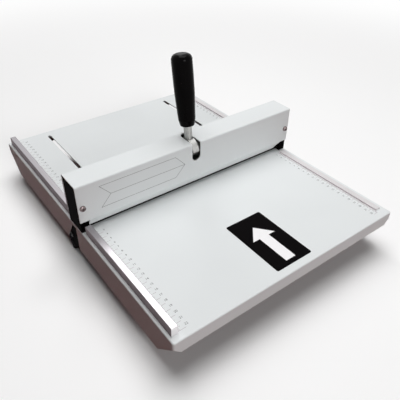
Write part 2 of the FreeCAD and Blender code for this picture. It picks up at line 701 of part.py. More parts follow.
def make_bush(name, side):
    body = new_body(name)
    ring = new_sketch(body, "Ring", "YZ_Plane", f"({side} * {HALF_WORK})")
    circles(ring, SHAFT_CENTRE, "Dims.bush_diameter")
    circles(ring, SHAFT_CENTRE, "Dims.shaft_diameter + 2 * Dims.running_clearance")
    pad(body, "Sleeve", ring, "Dims.bush_length", toward=side)
    return body


for name, side in (("left", -1), ("right", 1)):
    make_end_plate(f"end_plate_{name}", side)
    make_bush(f"shaft_bush_{name}", side)
screws("end_plate_screws", "XY_Plane", web_low, PLATE_SCREWS, "Dims.plate_screw",
       "Dims.plate_screw_head", "Dims.plate_screw_head_height",
       "Dims.beam_web + Dims.table_sheet + Dims.plate_screw_grip", out=-1)

# ---------------------------------------------------------------- tie bar and lever stop
tie_bar = new_body("tie_bar")
section = new_sketch(tie_bar, "Section", "YZ_Plane")
rectangle(section, TIE_FRONT, "Dims.plate_rear", TIE_LOW, PLATE_TOP)
pad(tie_bar, "Bar", section, f"2 * ({HALF_WORK} + Dims.tie_bar_seat - 0.1)", middle=True)
STOP_CENTRE = [("0", STOP_HEIGHT)]
TIE_SCREWS = [(f"-{TIE_SCREW_X}", TIE_SCREW_HEIGHT), (TIE_SCREW_X, TIE_SCREW_HEIGHT)]
holes = circles(new_sketch(tie_bar, "StopThread", "XZ_Plane", f"{TIE_FRONT} - 1"), STOP_CENTRE,
                "Dims.stop_screw_diameter")
pocket(tie_bar, "StopThreadCut", holes, "Dims.tie_bar_depth + 2", toward=1)
holes = circles(new_sketch(tie_bar, "ScrewHoles", "XZ_Plane", f"{TIE_FRONT} - 1"), TIE_SCREWS,
                "Dims.tie_bar_screw + 0.2")
pocket(tie_bar, "ScrewHolesCut", holes, "Dims.tie_bar_depth + 2", toward=1)
TIE_SEAT = "(Dims.plate_rear - 3.2)"
holes = circles(new_sketch(tie_bar, "HeadSinks", "XZ_Plane", TIE_SEAT), TIE_SCREWS,
                "Dims.tie_bar_screw_head + 0.6")
pocket(tie_bar, "HeadSinksCut", holes, "Dims.tie_bar_depth", toward=1)
screws("tie_bar_screws", "XZ_Plane", TIE_SEAT, TIE_SCREWS, "Dims.tie_bar_screw",
       "Dims.tie_bar_screw_head", "3", f"{TIE_SEAT} - {TIE_FRONT} + 5.5", out=1)

STOP_TIP = ("((Dims.shaft_drop - Dims.stop_drop + Dims.stop_screw_diameter / 2)"
            " * tan(Dims.lever_lean) + Dims.boss_diameter / 2 / cos(Dims.lever_lean)"
            " + Dims.contact_gap)")
stop = new_body("lever_stop_screw")
tip = circles(new_sketch(stop, "Tip", "XZ_Plane", STOP_TIP), STOP_CENTRE,
              "Dims.stop_screw_diameter")
pad(stop, "Shank", tip, f"Dims.plate_rear - 0.4 - {STOP_TIP}", toward=1)
dress(stop, "Chamfer", "TipChamfer", "0.6",
      lambda e: is_ring(e, size("Dims.stop_screw_diameter") / 2, y=size(STOP_TIP)))
nut = new_body("lever_stop_nut")
blank = new_sketch(nut, "Hexagon", "XZ_Plane", TIE_FRONT)
outline(blank, hexagon("0", STOP_HEIGHT, "Dims.stop_nut_flats / 2 / cos(30)"))
pad(nut, "Blank", blank, "Dims.stop_nut_height", toward=-1)
bore = circles(new_sketch(nut, "Thread", "XZ_Plane", f"{TIE_FRONT} + 1"), STOP_CENTRE,
               "Dims.stop_screw_diameter")
pocket(nut, "ThreadCut", bore, "Dims.stop_nut_height + 2")

# ---------------------------------------------------------------- cover
cover = new_body("cover")
wall_in_front = f"({COVER_FRONT} + Dims.cover_sheet)"
wall_in_rear = f"({COVER_REAR} - Dims.cover_sheet)"
section = new_sketch(cover, "Walls", "YZ_Plane")
outline(section, [(COVER_FRONT, "Dims.skirt_height"), (COVER_FRONT, "Dims.cover_height"),
                  (COVER_REAR, "Dims.cover_height"), (COVER_REAR, "Dims.skirt_height"),
                  (wall_in_rear, "Dims.skirt_height"), (wall_in_rear, PLATE_TOP),
                  (wall_in_front, PLATE_TOP), (wall_in_front, "Dims.skirt_height")])
pad(cover, "Bent sheet", section, "Dims.table_width", middle=True)
y_front = size(COVER_FRONT)
y_rear = size(COVER_REAR)
z_cover = size("Dims.cover_height")
dress(cover, "Fillet", "Bends", "Dims.cover_bend",
      lambda e: along(e, "x") and (at(e, y=y_front, z=z_cover) or at(e, y=y_rear, z=z_cover)))

LIP_DROP = "(Dims.skirt_height - Dims.paper_gap)"
LIP_LENGTH = f"sqrt(Dims.lip_inset ^ 2 + {LIP_DROP} ^ 2)"
LIP_SIN = f"(Dims.lip_inset / {LIP_LENGTH})"
LIP_COS = f"({LIP_DROP} / {LIP_LENGTH})"
lips = new_sketch(cover, "Lips", "YZ_Plane")
bend = f"(Dims.cover_sheet * {LIP_SIN} / (1 + {LIP_COS}))"
for side, face in ((1, COVER_FRONT), (-1, COVER_REAR)):
    outline(lips, [(face, "Dims.skirt_height"),
                   (f"{face} + {side} * Dims.lip_inset", "Dims.paper_gap"),
                   (f"{face} + {side} * (Dims.lip_inset + Dims.cover_sheet * {LIP_COS})",
                    f"Dims.paper_gap + Dims.cover_sheet * {LIP_SIN}"),
                   (f"{face} + {side} * Dims.cover_sheet", f"Dims.skirt_height + {bend}"),
                   (f"{face} + {side} * Dims.cover_sheet", "Dims.skirt_height + 1"),
                   (face, "Dims.skirt_height + 1")])
LIP_HALF = f"({HALF_WORK} - Dims.lip_end_gap)"
pad(cover, "LipPad", lips, f"2 * {LIP_HALF}", middle=True)
corner = new_sketch(cover, "LipCorner", "XZ_Plane", f"{COVER_FRONT} - 1")
outline(corner, [(f"{LIP_HALF} - Dims.lip_corner", "Dims.paper_gap - 1"),
                 (f"{LIP_HALF} + 1", "Dims.paper_gap - 1"),
                 (f"{LIP_HALF} + 1", "Dims.skirt_height"),
                 (LIP_HALF, "Dims.skirt_height"),
                 (f"{LIP_HALF} - Dims.lip_corner", "Dims.paper_gap")])
pocket(cover, "LipCornerCut", corner, f"{COVER_REAR} - {COVER_FRONT} + 2", toward=1)

slot = new_sketch(cover, "FrontSlot", "XZ_Plane", f"{COVER_FRONT} - 1")
round_ended_slot(slot, "0", SLOT_FOOT, "Dims.cover_height + Dims.slot_width",
                 "Dims.slot_width")
pocket(cover, "FrontSlotCut", slot, "Dims.cover_sheet + 2", toward=1)
slot = new_sketch(cover, "TopSlot", "XY_Plane", "Dims.cover_height + 1")
round_ended_slot(slot, "0", f"{COVER_FRONT} - Dims.slot_width", "Dims.slot_rear",
                 "Dims.slot_width")
pocket(cover, "TopSlotCut", slot, "Dims.cover_sheet + 2")
holes = circles(new_sketch(cover, "ScrewHoles", "XZ_Plane", f"{COVER_FRONT} - 1"), COVER_SCREWS,
                "Dims.cover_screw + 0.2")
pocket(cover, "ScrewHolesCut", holes, f"{COVER_REAR} - {COVER_FRONT} + 2", toward=1)
for name, level, out in (("front", COVER_FRONT, -1), ("rear", COVER_REAR, 1)):
    screws(f"cover_screws_{name}", "XZ_Plane", level, COVER_SCREWS, "Dims.cover_screw",
           "Dims.cover_screw_head", "Dims.cover_screw_head_height", "Dims.cover_screw_length",
           out=out, drive=cross)

# ---------------------------------------------------------------- rails, strips, plate
for name, span, places in (("front_guide_rail", FRONT_RAIL, FRONT_RAIL_SCREWS),
                           ("rear_guide_rail", REAR_RAIL, REAR_RAIL_SCREWS)):
    rail = new_body(name)
    foot = new_sketch(rail, "Foot", "XY_Plane")
    rectangle(foot, f"-{HALF_WORK} - Dims.rail_width", f"-{HALF_WORK}", span[0], span[1])
    pad(rail, "Bar", foot, "Dims.rail_height")
    z_rail = size("Dims.rail_height")
    threads = circles(new_sketch(rail, "Threads", "XY_Plane", "-1"), places, "Dims.small_screw")
    pocket(rail, "ThreadCut", threads, "Dims.rail_height * 0.6 + 1", toward=1)
    dress(rail, "Chamfer", "TopEdges", "Dims.rail_chamfer", lambda e: at(e, z=z_rail))
for name, places in (("front_rail_screws", FRONT_RAIL_SCREWS),
                     ("rear_rail_screws", REAR_RAIL_SCREWS)):
    screws(name, "XY_Plane", UNDER_TABLE, places, "Dims.small_screw", "Dims.small_screw_head",
           "Dims.small_screw_head_height", "Dims.table_sheet + Dims.rail_height * 0.5", out=-1)
STRIP_FACE = f"({HALF_WORK} - Dims.strip_inset)"
STRIP_SPANS = {
    "front_edge_strip": ("(-Dims.front_reach + Dims.strip_margin)", FRONT_RAIL[1]),
    "rear_edge_strip": (REAR_RAIL[0], "(Dims.rear_reach - Dims.strip_margin)"),
}
for name, span in STRIP_SPANS.items():
    strip = new_body(name)
    foot = new_sketch(strip, "Foot", "XY_Plane")
    rectangle(foot, STRIP_FACE, f"{STRIP_FACE} + Dims.rail_width", span[0], span[1])
    pad(strip, "Strip", foot, "Dims.strip_height")
    z_strip = size("Dims.strip_height")
    dress(strip, "Chamfer", "TopEdges", "0.3", lambda e: at(e, z=z_strip))

plaque = new_body("feed_direction_label")
face = new_sketch(plaque, "Face", "XY_Plane")
near = "(-Dims.front_reach + Dims.plaque_margin)"
rectangle(face, "Dims.plaque_shift - Dims.plaque_width / 2",
          "Dims.plaque_shift + Dims.plaque_width / 2", near, f"{near} + Dims.plaque_length")
pad(plaque, "Label", face, "Dims.plaque_sheet")
dress(plaque, "Fillet", "Corners", "Dims.plaque_corner", lambda e: along(e, "z"))

# ---------------------------------------------------------------- feet
CENTRE_FOOT_TOP = f"({BEAM_FOOT} - Dims.cap_sheet)"
CORNER_FOOT_TOP = "(-Dims.side_flange)"
CORNER_FEET = [(f"{sign}{CORNER_X}", y)
               for sign in ("-", "") for y in (CORNER_FRONT, CORNER_REAR)]
CENTRE_FEET = [(f"{sign}{FOOT_X}", "Dims.foot_back") for sign in ("-", "")]


def make_foot(name, x, y, top, diameter):
    """Rubber foot with a rim at its top and a recess for the screw in its sole."""
    body = new_body(name, x, f"{CREASE} + {y}", f"{TOP} + {top}")
    half = f"({diameter} / 2)"
    height = f"({TOP} + {top})"
    bore = "(Dims.small_screw / 2 + 0.1)"
    well = "(Dims.small_screw_head / 2 + 0.3)"
    section = new_sketch(body, "Section", "XZ_Plane")
    outline(section, [(bore, "0"), (half, "0"), (half, "-2.5"), (f"{half} - 0.8", "-3.1"),
                      (f"{half} - 1.3", f"-{height} + 1"), (f"{half} - 2", f"-{height}"),
                      (well, f"-{height}"), (well, f"-{height} + Dims.foot_recess"),
                      (bore, f"-{height} + Dims.foot_recess")])
    revolve(body, "Foot", section)
    return body


for (x, y), name in zip(CENTRE_FEET, ("centre_foot_left", "centre_foot_right")):
    make_foot(name, x, y, CENTRE_FOOT_TOP, "Dims.foot_diameter")
for (x, y), name in zip(CORNER_FEET, ("front_foot_left", "rear_foot_left", "front_foot_right",
                                      "rear_foot_right")):
    make_foot(name, x, y, CORNER_FOOT_TOP, "Dims.corner_foot_diameter")
SOLE = f"(-{TOP} + Dims.foot_recess)"
screws("centre_foot_screws", "XY_Plane", SOLE, CENTRE_FEET, "Dims.small_screw",
       "Dims.small_screw_head", "Dims.small_screw_head_height", f"{BEAM_FOOT} - {SOLE} + 1.5",
       out=-1)
screws("corner_foot_screws", "XY_Plane", SOLE, CORNER_FEET, "Dims.small_screw",
       "Dims.small_screw_head", "Dims.small_screw_head_height",
       f"{CORNER_FOOT_TOP} + Dims.table_sheet - {SOLE} + 2", out=-1)

# ---------------------------------------------------------------- cam shaft, hub, rod, grip
LEVER_Z = f"{TOP} + {SHAFT_HEIGHT}"


def lever_body(name, x="0"):
    """A body whose X axis is the cam shaft and whose Z axis is the leaning lever."""
    body = new_body(name, x, CREASE, LEVER_Z)
    body.Placement.Rotation = Rotation(Vector(1, 0, 0), -size("Dims.lever_lean"))
    body.setExpression("Placement.Rotation.Angle", "Dims.lever_lean")
    body.setExpression("Placement.Rotation.Axis.x", "-1")
    return body


AXLE = [("0", "0")]
SPIGOT_HOLE = "(Dims.spigot_diameter + 0.1)"
SPIGOT_END = "(Dims.rod_seat - Dims.spigot_depth)"
shaft = lever_body("cam_shaft")
round_bar = circles(new_sketch(shaft, "Round", "YZ_Plane"), AXLE, "Dims.shaft_diameter")
pad(shaft, "Bar", round_bar, f"2 * ({HALF_WORK} + Dims.bush_length - Dims.end_clearance)",
    middle=True)
hole = circles(new_sketch(shaft, "SpigotHole", "XY_Plane", "Dims.shaft_diameter"), AXLE,
               SPIGOT_HOLE)
pocket(shaft, "SpigotHoleCut", hole, f"Dims.shaft_diameter - {SPIGOT_END} + 0.3")
PIN_X = [("-Dims.cam_offset", "0"), ("Dims.cam_offset", "0")]
pin_holes = circles(new_sketch(shaft, "PinHoles", "XY_Plane"), PIN_X, "Dims.cam_pin")
pocket(shaft, "PinHolesCut", pin_holes, "2 * Dims.shaft_diameter", middle=True)
shaft_end = size(f"{HALF_WORK} + Dims.bush_length - Dims.end_clearance")
dress(shaft, "Chamfer", "Ends", "0.8",
      lambda e: is_ring(e, size("Dims.shaft_diameter") / 2, x=shaft_end)
      or is_ring(e, size("Dims.shaft_diameter") / 2, x=-shaft_end))


def quarter(sketch, radius):
    """Quarter disc from straight up to the front."""
    reach = size(radius)
    sketch.addGeometry(Part.LineSegment(Vector(0, 0, 0), Vector(0, reach, 0)))
    circle = Part.Circle(Vector(0, 0, 0), Vector(0, 0, 1), reach)
    sketch.addGeometry(Part.ArcOfCircle(circle, math.pi / 2, math.pi))
    sketch.addGeometry(Part.LineSegment(Vector(-reach, 0, 0), Vector(0, 0, 0)))
    for first, second in (((0, 2), (1, 1)), ((1, 2), (2, 1)), ((2, 2), (0, 1)),
                          ((0, 1), (-1, 1)), ((1, 3), (-1, 1))):
        sketch.addConstraint(Sketcher.Constraint("Coincident", *first, *second))
    sketch.addConstraint(Sketcher.Constraint("PointOnObject", 0, 2, -2))
    sketch.addConstraint(Sketcher.Constraint("PointOnObject", 2, 1, -1))
    index = sketch.addConstraint(Sketcher.Constraint("Radius", 1, reach))
    sketch.setExpression(f"Constraints[{index}]", radius)
    return sketch


hub = lever_body("lever_hub")
drum = circles(new_sketch(hub, "Drum", "YZ_Plane"), AXLE, "Dims.hub_diameter")
pad(hub, "DrumPad", drum, "Dims.hub_length", middle=True)
hub_end = size("Dims.hub_length") / 2
dress(hub, "Chamfer", "DrumEdges", "0.8",
      lambda e: is_ring(e, size("Dims.hub_diameter") / 2, x=hub_end)
      or is_ring(e, size("Dims.hub_diameter") / 2, x=-hub_end))
shield = quarter(new_sketch(hub, "Shield", "YZ_Plane"), "Dims.shield_radius")
pad(hub, "ShieldPad", shield, "Dims.shield_width", middle=True)
boss = circles(new_sketch(hub, "Boss", "XY_Plane"), AXLE, "Dims.boss_diameter")
pad(hub, "BossPad", boss, "Dims.rod_seat")
spot = circles(new_sketch(hub, "SpotFace", "XY_Plane", "Dims.rod_seat"), AXLE,
               "Dims.boss_diameter")
pocket(hub, "SpotFaceCut", spot, "Dims.shield_radius", toward=1)
bore = circles(new_sketch(hub, "ShaftBore", "YZ_Plane"), AXLE, "Dims.shaft_diameter + 0.04")
pocket(hub, "ShaftBoreCut", bore, "Dims.hub_length + 2", middle=True)
bore = circles(new_sketch(hub, "RodBore", "XY_Plane", "Dims.rod_seat + 1"), AXLE, SPIGOT_HOLE)
pocket(hub, "RodBoreCut", bore, "Dims.rod_seat + 1")

lever_rod = lever_body("lever_rod")
spigot = "(Dims.spigot_diameter / 2)"
rod_half = "(Dims.rod_diameter / 2)"
section = new_sketch(lever_rod, "Section", "XZ_Plane")
outline(section, [("0", SPIGOT_END), (f"{spigot} - 0.6", SPIGOT_END),
                  (spigot, f"{SPIGOT_END} + 0.6"), (spigot, "Dims.rod_seat"),
                  (f"{rod_half} - 0.4", "Dims.rod_seat"), (rod_half, "Dims.rod_seat + 0.4"),
                  (rod_half, "Dims.rod_top - 0.8"), (f"{rod_half} - 0.8", "Dims.rod_top"),
                  ("0", "Dims.rod_top")])
revolve(lever_rod, "Rod", section)

grip = lever_body("lever_grip")
bore_half = f"({rod_half} + 0.05)"
section = new_sketch(grip, "Section", "XZ_Plane")
grip_length = "(Dims.grip_top - Dims.grip_foot)"
outline(section, [(bore_half, "Dims.grip_foot"), ("Dims.grip_end_diameter / 2", "Dims.grip_foot"),
                  ("Dims.grip_neck_diameter / 2", f"Dims.grip_foot + {grip_length} * 0.09"),
                  ("Dims.grip_neck_diameter / 2 + 0.6",
                   f"Dims.grip_foot + {grip_length} * 0.22"),
                  ("Dims.grip_belly_diameter / 2", f"Dims.grip_foot + {grip_length} * 0.46"),
                  ("Dims.grip_head_diameter / 2", f"Dims.grip_foot + {grip_length} * 0.74"),
                  ("Dims.grip_head_diameter / 2", "Dims.grip_top"), ("0", "Dims.grip_top"),
                  ("0", "Dims.rod_top + 0.5"), (bore_half, "Dims.rod_top + 0.5")])
revolve(grip, "Handle", section)
dress(grip, "Fillet", "Dome", "Dims.grip_dome",
      lambda e: is_ring(e, size("Dims.grip_head_diameter") / 2, z=size("Dims.grip_top")))
dress(grip, "Fillet", "Neck", "3",
      lambda e: is_ring(e, size("Dims.grip_neck_diameter") / 2,
                        z=size(f"Dims.grip_foot + {grip_length} * 0.09")))
dress(grip, "Fillet", "EndRound", "Dims.grip_end_round",
      lambda e: is_ring(e, size("Dims.grip_end_diameter") / 2, z=size("Dims.grip_foot")))

# ---------------------------------------------------------------- cams
CAM_RATE = "(Dims.cam_stroke / (Dims.cam_travel * pi / 180))"
CAM_STEPS = 16
CAM_TIP = "(Dims.cam_radius + Dims.cam_stroke)"
TIP_RADIUS = f"sqrt({CAM_TIP} ^ 2 + {CAM_RATE} ^ 2)"
TIP_ANGLE = f"(Dims.cam_travel + atan({CAM_RATE} / {CAM_TIP}) / 1 deg)"


def polar(radius, angle):
    """A point at radius, its angle counted from straight down to the front with the lever at rest."""
    turned = f"({angle} - Dims.lever_lean)"
    return f"-({radius}) * sin({turned})", f"-({radius}) * cos({turned})"


def lobe_points():
    """The lobe pushes a flat ram down in proportion to the lever's angle."""
    points = [("0", "0"), polar("Dims.cam_radius", "0")]
    for step in range(CAM_STEPS + 1):
        angle = f"(Dims.cam_travel * {step} / {CAM_STEPS} - Dims.lever_lean)"
        lift = f"(Dims.cam_radius + Dims.cam_stroke * {step} / {CAM_STEPS})"
        points.append((f"-({lift} * sin({angle}) + {CAM_RATE} * cos({angle}))",
                       f"-({lift} * cos({angle}) - {CAM_RATE} * sin({angle}))"))
    for share in (1, 2, 3):
        points.append(polar(TIP_RADIUS, f"{TIP_ANGLE} + Dims.cam_dwell * {share} / 3"))
    points.append(polar("Dims.cam_radius", f"{TIP_ANGLE} + Dims.cam_dwell"
                        f" + acos(Dims.cam_radius / {TIP_RADIUS}) / 1 deg"))
    return points


for name, sign in (("cam_left", "-"), ("cam_right", "")):
    cam = lever_body(name, f"{sign}Dims.cam_offset")
    disc = circles(new_sketch(cam, "Disc", "YZ_Plane"), AXLE, "2 * Dims.cam_radius")
    pad(cam, "DiscPad", disc, "Dims.cam_width", middle=True)
    lobe = outline(new_sketch(cam, "Lobe", "YZ_Plane"), lobe_points())
    pad(cam, "LobePad", lobe, "Dims.cam_width", middle=True)
    bore = circles(new_sketch(cam, "Bore", "YZ_Plane"), AXLE, "Dims.shaft_diameter + 0.04")
    pocket(cam, "BoreCut", bore, "Dims.cam_width + 2", middle=True)
    hole = circles(new_sketch(cam, "PinHole", "XY_Plane"), AXLE, "Dims.cam_pin")
    pocket(cam, "PinHoleCut", hole, "4 * Dims.cam_radius", middle=True)
pins = lever_body("cam_pins")
round_pins = circles(new_sketch(pins, "Round", "XY_Plane"), PIN_X, "Dims.cam_pin")
pad(pins, "Pins", round_pins, "2 * Dims.cam_radius - 1", middle=True)

# ---------------------------------------------------------------- ram, blade, clamp
ram = new_body("ram")
RECESS = "(Dims.ram_recess_width / 2)"
side_view = [(RAM_END, "Dims.ram_bottom"), (RAM_END, "Dims.tongue_low"),
             (TONGUE_END, "Dims.tongue_low"), (TONGUE_END, TONGUE_TOP),
             (RAM_END, TONGUE_TOP), (RAM_END, RAM_TOP), (RECESS, RAM_TOP),
             (RECESS, f"{RAM_TOP} - Dims.ram_recess_depth")]
section = new_sketch(ram, "Outline", "XZ_Plane")
outline(section, side_view + [(f"-{x}", z) for x, z in reversed(side_view)])
pad(ram, "Bar", section, "Dims.ram_thickness", middle=True)
rebate = new_sketch(ram, "Rebate", "YZ_Plane")
REBATE_TOP = "(Dims.ram_bottom + Dims.rebate_height)"
BLADE_HALF = "(Dims.blade_thickness / 2)"
rectangle(rebate, f"-{RAM_HALF} - 1", BLADE_HALF, "Dims.ram_bottom - 1", REBATE_TOP)
pocket(ram, "RebateCut", rebate, f"2 * {RAM_END}", middle=True)
CLAMP_HEIGHT = "(Dims.ram_bottom + Dims.rebate_height / 2)"
CLAMP_SCREWS = [(f"Dims.clamp_screw_pitch * {place}", CLAMP_HEIGHT)
                for place in (-2.5, -1.5, -0.5, 0.5, 1.5, 2.5)]
threads = circles(new_sketch(ram, "ClampThreads", "XZ_Plane", f"-{RAM_HALF}"), CLAMP_SCREWS,
                  "Dims.small_screw")
pocket(ram, "ClampThreadCut", threads, "Dims.ram_thickness - 1.5", toward=1)

blade = new_body("crease_blade")
BLADE_TOP = "(Dims.paper_gap + Dims.blade_height)"
section = new_sketch(blade, "Section", "YZ_Plane")
edge_half = "(Dims.blade_edge / 2)"
outline(section, [(f"-{edge_half}", "Dims.paper_gap"), (edge_half, "Dims.paper_gap"),
                  (BLADE_HALF, "Dims.paper_gap + 2"), (BLADE_HALF, BLADE_TOP),
                  (f"-{BLADE_HALF}", BLADE_TOP), (f"-{BLADE_HALF}", "Dims.paper_gap + 2")])
pad(blade, "Strip", section, f"2 * {RAM_END}", middle=True)
holes = circles(new_sketch(blade, "Holes", "XZ_Plane", f"-{RAM_HALF}"), CLAMP_SCREWS,
                "Dims.small_screw + 0.2")
pocket(blade, "HolesCut", holes, "Dims.ram_thickness", toward=1)

clamp = new_body("blade_clamp")
section = new_sketch(clamp, "Section", "YZ_Plane")
rectangle(section, f"-{RAM_HALF}", f"-{BLADE_HALF}", "Dims.ram_bottom", f"{REBATE_TOP} - 0.2")
pad(clamp, "Bar", section, f"2 * {RAM_END}", middle=True)
holes = circles(new_sketch(clamp, "Holes", "XZ_Plane", f"-{RAM_HALF} - 1"), CLAMP_SCREWS,
                "Dims.small_screw + 0.2")
pocket(clamp, "HolesCut", holes, "Dims.ram_thickness", toward=1)
screws("clamp_screws", "XZ_Plane", f"-{RAM_HALF}", CLAMP_SCREWS, "Dims.small_screw",
       "Dims.small_screw_head", "Dims.small_screw_head_height", "Dims.ram_thickness - 2.5",
       out=-1)

# ---------------------------------------------------------------- return springs
COIL_STEPS = 16
WIRE_SIDES = 8


def coil_shape(coil_radius, wire_radius, height, turns):
    """A compression spring with one closed turn at each end, as short straight lengths of wire."""
    closed_rise = 2.1 * wire_radius
    open_rise = (height - 2 * closed_rise) / (turns - 2)
    spine = []
    for step in range(int(turns) * COIL_STEPS + 1):
        turn = step / COIL_STEPS
        open_turns = min(max(turn - 1, 0), turns - 2)
        level = (turn - open_turns) * closed_rise + open_turns * open_rise
        angle = 2 * math.pi * turn
        spine.append(Vector(coil_radius * math.cos(angle), coil_radius * math.sin(angle), level))
    ring = []
    for side in range(WIRE_SIDES + 1):
        angle = 2 * math.pi * side / WIRE_SIDES
        ring.append(Vector(coil_radius + wire_radius * math.cos(angle), 0,
                           wire_radius * math.sin(angle)))
    path = Part.Wire(Part.makePolygon(spine).Edges)
    return path.makePipeShell([Part.makePolygon(ring)], True, False, 1)


SPRING_HEIGHT = "(Dims.tongue_low - Dims.pocket_low - 0.3)"
for side_name, sign in (("left", "-"), ("right", "")):
    spring = doc.addObject("Part::Feature", f"return_spring_{side_name}")
    spring.Shape = coil_shape(size("(Dims.spring_diameter - Dims.spring_wire) / 2"),
                              size("Dims.spring_wire / 2"),
                              size(f"{SPRING_HEIGHT} - Dims.spring_wire"),
                              size("Dims.spring_turns"))
    spring.Label = spring.Name
    place(spring, f"{sign}{POCKET_MIDDLE}", CREASE,
          f"{TOP} + Dims.pocket_low + 0.15 + Dims.spring_wire / 2")

# ---------------------------------------------------------------- check and write
doc.recompute()
os.makedirs("parts", exist_ok=True)
faults = [f"{item.Label}: {item.State}" for item in doc.Objects
          if {"Invalid", "Error"} & set(item.State)]
parts = [item for item in doc.Objects
         if item.TypeId == "PartDesign::Body" or item.TypeId == "Part::Feature"]
for item in parts:
    if item.Shape.isNull() or not item.Shape.isValid() or not item.Shape.Solids:
        faults.append(f"{item.Label}: bad shape")
if faults:
    raise RuntimeError("; ".join(faults))
for item in parts:
    item.Shape.exportStep(f"parts/{item.Label}.step")
print(f"{len(parts)} parts written")
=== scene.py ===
"""Looks of the desktop paper creasing machine: materials, print, springs, light and camera.

Metres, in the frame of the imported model: X along the crease, Y to the rear, Z up.
"""
import json
import math

import bmesh
import bpy
from mathutils import Matrix, Vector


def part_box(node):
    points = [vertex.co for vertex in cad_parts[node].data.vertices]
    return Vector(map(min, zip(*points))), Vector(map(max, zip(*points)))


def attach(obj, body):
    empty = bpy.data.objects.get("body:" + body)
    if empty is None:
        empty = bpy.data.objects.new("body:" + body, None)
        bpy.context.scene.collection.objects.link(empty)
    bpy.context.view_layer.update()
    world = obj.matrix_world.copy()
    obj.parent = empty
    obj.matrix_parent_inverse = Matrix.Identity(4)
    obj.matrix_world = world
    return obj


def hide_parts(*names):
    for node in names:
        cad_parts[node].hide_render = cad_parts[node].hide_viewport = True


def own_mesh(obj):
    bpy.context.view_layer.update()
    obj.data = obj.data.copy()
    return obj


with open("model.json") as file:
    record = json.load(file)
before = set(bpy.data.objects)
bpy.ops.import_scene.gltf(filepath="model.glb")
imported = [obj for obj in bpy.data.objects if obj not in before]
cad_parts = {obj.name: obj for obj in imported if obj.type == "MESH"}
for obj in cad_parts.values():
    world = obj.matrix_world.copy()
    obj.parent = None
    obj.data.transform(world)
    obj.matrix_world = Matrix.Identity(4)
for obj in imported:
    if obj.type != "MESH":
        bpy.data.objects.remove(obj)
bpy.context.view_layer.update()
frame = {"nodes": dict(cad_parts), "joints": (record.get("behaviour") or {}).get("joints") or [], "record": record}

MM = 0.001

# ---------------------------------------------------------------- places, read from the frame
front_low, front_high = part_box("front_table")
rear_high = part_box("rear_table")[1]
die_low, die_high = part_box("die_bar")
cover_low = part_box("cover")[0]
label_low, label_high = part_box("feed_direction_label")
TABLE_TOP = front_high.z
CREASE_Y = (die_low.y + die_high.y) / 2
CREASE_X = (die_low.x + die_high.x) / 2
WORK_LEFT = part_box("front_guide_rail")[1].x
WORK_RIGHT = 2 * CREASE_X - WORK_LEFT
STRIP_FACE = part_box("front_edge_strip")[0].x
INK = 0.04 * MM             # printed matter stands this far above its surface


# ---------------------------------------------------------------- node helpers
def math_node(tree, kind, first, second):
    """One math node; each of its two values may be a number or a socket."""
    node = tree.nodes.new("ShaderNodeMath")
    node.operation = kind
    for index, value in enumerate((first, second)):
        if isinstance(value, (int, float)):
            node.inputs[index].default_value = value
        else:
            tree.links.new(value, node.inputs[index])
    return node.outputs[0]


MIX_COLOURS = (6, 7)        # a Mix node's two colour inputs, and its colour output
MIX_RESULT = 2


